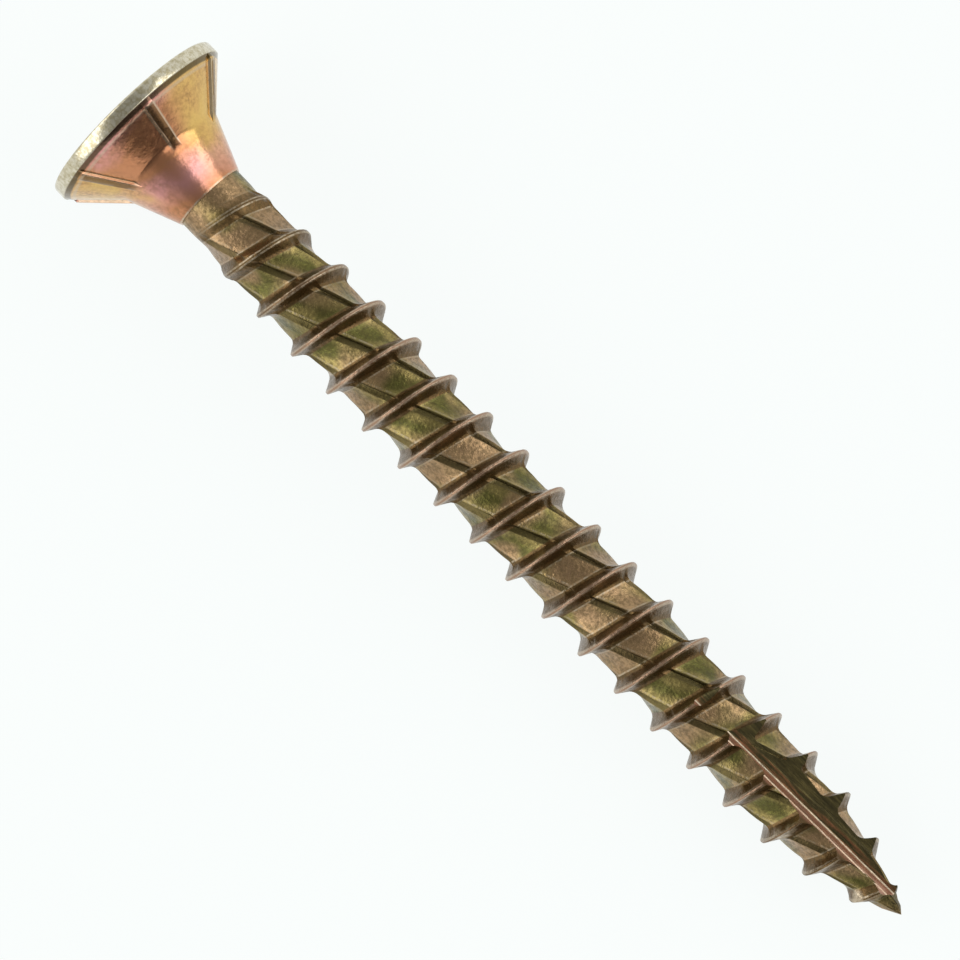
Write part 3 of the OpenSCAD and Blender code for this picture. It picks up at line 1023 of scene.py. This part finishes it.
CARD_SEEN_WHITE = 0.92
COOL_WHITE = (0.97, 1.0, 0.99, 1)


def table_finish():
    """White card: the camera and the metal see it evenly white, with a light shadow."""
    material = bpy.data.materials.new("white_card")
    material.use_nodes = True
    tree = material.node_tree
    tree.nodes.remove(tree.nodes["Principled BSDF"])
    card = tree.nodes.new("ShaderNodeBsdfDiffuse")
    card.inputs["Color"].default_value = (0.86, 0.9, 0.9, 1)
    glow = tree.nodes.new("ShaderNodeEmission")
    glow.inputs["Color"].default_value = COOL_WHITE
    path = tree.nodes.new("ShaderNodeLightPath")
    seen = Reading(tree, path.outputs["Is Camera Ray"]) + Reading(tree, path.outputs["Is Glossy Ray"])
    seen = seen + Reading(tree, path.outputs["Is Transmission Ray"])
    mix = tree.nodes.new("ShaderNodeMixShader")
    feed(tree, mix.inputs[0], seen * CARD_SEEN_WHITE)
    tree.links.new(card.outputs[0], mix.inputs[1])
    tree.links.new(glow.outputs[0], mix.inputs[2])
    tree.links.new(mix.outputs[0], tree.nodes["Material Output"].inputs["Surface"])
    return material


TABLE_REACH = 3.0


def table_mesh():
    corners = [(-1, -1), (1, -1), (1, 1), (-1, 1)]
    mesh = bpy.data.meshes.new("table")
    mesh.from_pydata([(x * TABLE_REACH, y * TABLE_REACH, 0) for x, y in corners], [], [(0, 1, 2, 3)])
    mesh.materials.append(table_finish())
    return mesh


table = solid_object("table", table_mesh())


def heading(degrees, rise=0.0):
    """A direction: degrees round from the way that the point looks, and degrees above the table."""
    turn, lift = math.radians(degrees), math.radians(rise)
    return Vector((math.cos(turn) * math.cos(lift), math.sin(turn) * math.cos(lift), math.sin(lift)))


TENT_OPEN_SIDE = -10.0
TENT_WALL_LEVEL = 0.85
OPENING_LEVEL = 0.04
OVERHEAD_LEVEL = 0.27


def tent():
    """Pale on both sides and at the back, grey overhead and towards the open side."""
    world = bpy.data.worlds.new("light_tent")
    world.use_nodes = True
    tree = world.node_tree
    look = tree.nodes.new("ShaderNodeTexCoord")

    def towards(direction):
        dot = tree.nodes.new("ShaderNodeVectorMath")
        dot.operation = "DOT_PRODUCT"
        tree.links.new(look.outputs["Generated"], dot.inputs[0])
        dot.inputs[1].default_value = direction
        return Reading(tree, dot.outputs["Value"])

    aside = towards(heading(TENT_OPEN_SIDE + 90))
    back = towards(heading(TENT_OPEN_SIDE + 180)).do("MAXIMUM", 0.0)
    cover = (aside * aside + back * back).do("SQRT").between(0.25, 1.0)
    overhead = towards(heading(0, 90)).between(0.0, 0.9).mixed(OPENING_LEVEL, OVERHEAD_LEVEL)
    feed(tree, tree.nodes["Background"].inputs["Strength"], cover.mixed(overhead, TENT_WALL_LEVEL))
    tree.nodes["Background"].inputs["Color"].default_value = COOL_WHITE
    bpy.context.scene.world = world


tent()


SOFT_BOX_WIDTH = 1.2
SOFT_BOX_HEIGHT = 0.6
SOFT_BOX_DISTANCE = 0.8
SOFT_BOX_WATTS = 3.5
SOFT_BOX_RISE = 36
SOFT_BOX_TURNS = {"right": 46, "left": -130}


def soft_box(name, direction):
    light = bpy.data.lights.new(name, "AREA")
    light.shape = "RECTANGLE"
    light.size = SOFT_BOX_WIDTH
    light.size_y = SOFT_BOX_HEIGHT
    light.energy = SOFT_BOX_WATTS
    box = bpy.data.objects.new(name, light)
    bpy.context.scene.collection.objects.link(box)
    box.location = aim + direction * SOFT_BOX_DISTANCE
    box.rotation_euler = direction.to_track_quat("Z", "Y").to_euler()


for side, degrees in SOFT_BOX_TURNS.items():
    soft_box("soft_box_" + side, heading(degrees, SOFT_BOX_RISE))

bpy.context.scene.view_settings.view_transform = "Standard"
